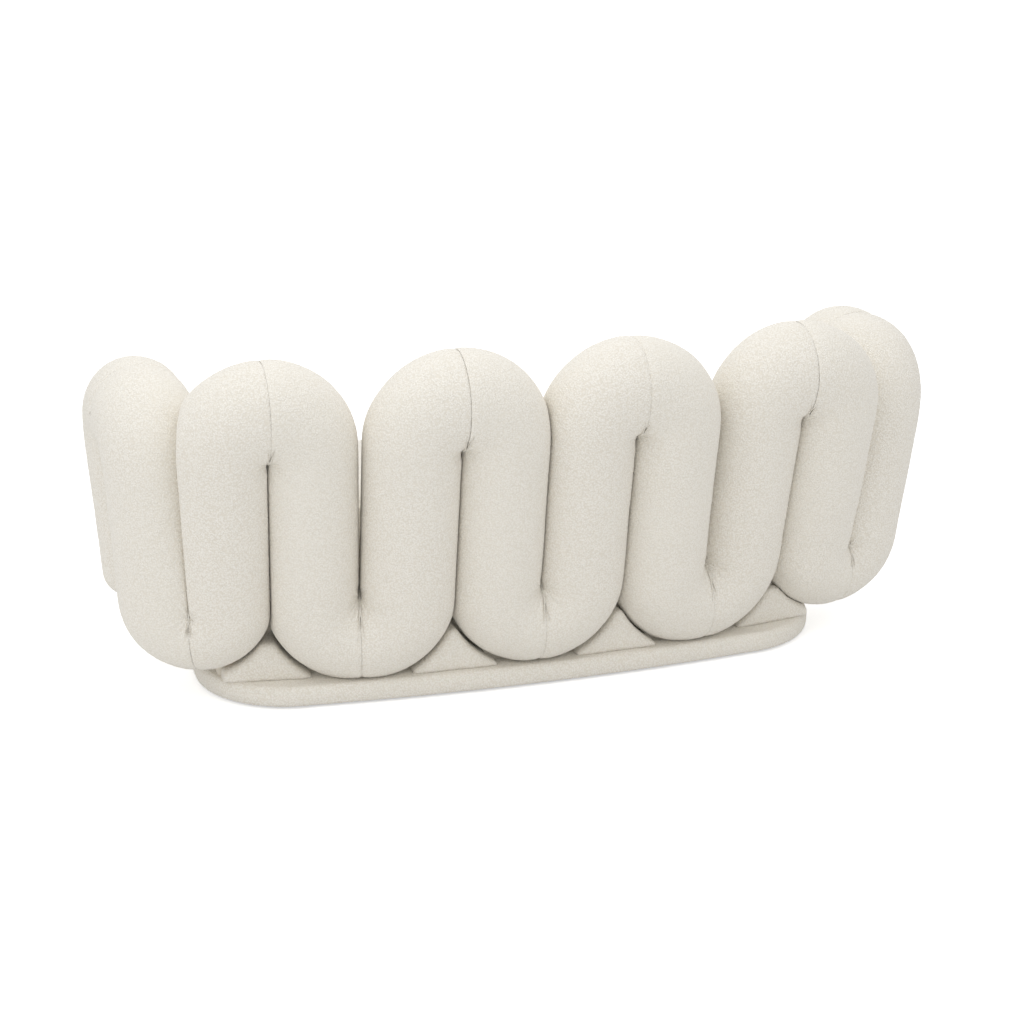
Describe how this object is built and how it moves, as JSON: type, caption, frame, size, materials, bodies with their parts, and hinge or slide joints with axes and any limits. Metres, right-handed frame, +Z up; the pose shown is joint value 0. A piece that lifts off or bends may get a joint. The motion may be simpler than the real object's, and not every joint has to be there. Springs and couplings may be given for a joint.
{
  "type": "tuxedo sofa",
  "caption": "Tuxedo sofa with back and arms at one height, made of a fat upholstered tube that snakes up and down round a bench seat.",
  "frame": {"origin": "centre of the sofa's outline at floor level, under the glides", "axes": "+Z up, -Y towards the front of the seat, +X towards the seated person's left arm"},
  "size_m": [1.9056, 0.8206, 0.7948],
  "materials": {
    "ivory_boucle": "looped ivory boucle, matt",
    "beech": "planed beech, unfinished",
    "birch_plywood": "birch plywood, sanded",
    "foam_in_calico": "plain calico over foam",
    "elastic_webbing": "woven elastic strap",
    "black_cambric": "thin bonded cloth",
    "nylon": "moulded nylon"
  },
  "bodies": {
    "frame": {"arm_tie_left": "beech", "arm_tie_right": "beech", "back_infill": "ivory_boucle", "bench_apron": "ivory_boucle", "bench_back_wall": "birch_plywood", "bench_corner_blocks": "beech", "bench_front_wall": "birch_plywood", "bench_ribs": "birch_plywood", "bench_side_wall_left": "birch_plywood", "bench_side_wall_right": "birch_plywood", "bolster_01": "ivory_boucle", "bolster_02": "ivory_boucle", "bolster_03": "ivory_boucle", "bolster_04": "ivory_boucle", "bolster_05": "ivory_boucle", "bolster_06": "ivory_boucle", "bolster_07": "ivory_boucle", "bolster_08": "ivory_boucle", "bolster_09": "ivory_boucle", "bolster_10": "ivory_boucle", "bolster_11": "ivory_boucle", "bolster_12": "ivory_boucle", "corner_tie_left": "beech", "corner_tie_right": "beech", "deck_pad": "foam_in_calico", "dust_cover": "black_cambric", "glides": "nylon", "plinth_band": "ivory_boucle", "plinth_battens": "beech", "plinth_bottom_panel": "birch_plywood", "plinth_top_panel": "birch_plywood", "post_01": "beech", "post_02": "beech", "post_03": "beech", "post_04": "beech", "post_05": "beech", "post_06": "beech", "post_07": "beech", "post_08": "beech", "post_09": "beech", "post_10": "beech", "post_11": "beech", "post_12": "beech", "seat_tie_left": "beech", "seat_tie_right": "beech", "webbing_cross": "elastic_webbing", "webbing_long": "elastic_webbing"},
    "seat_cushion": {"seat_cushion": "ivory_boucle"}
  },
  "joints": [
    {"name": "seat_cushion_lift", "type": "slide", "parent": "frame", "child": "seat_cushion", "axis": [0, 0, 1], "range_m": [0, 0.5]}
  ]
}
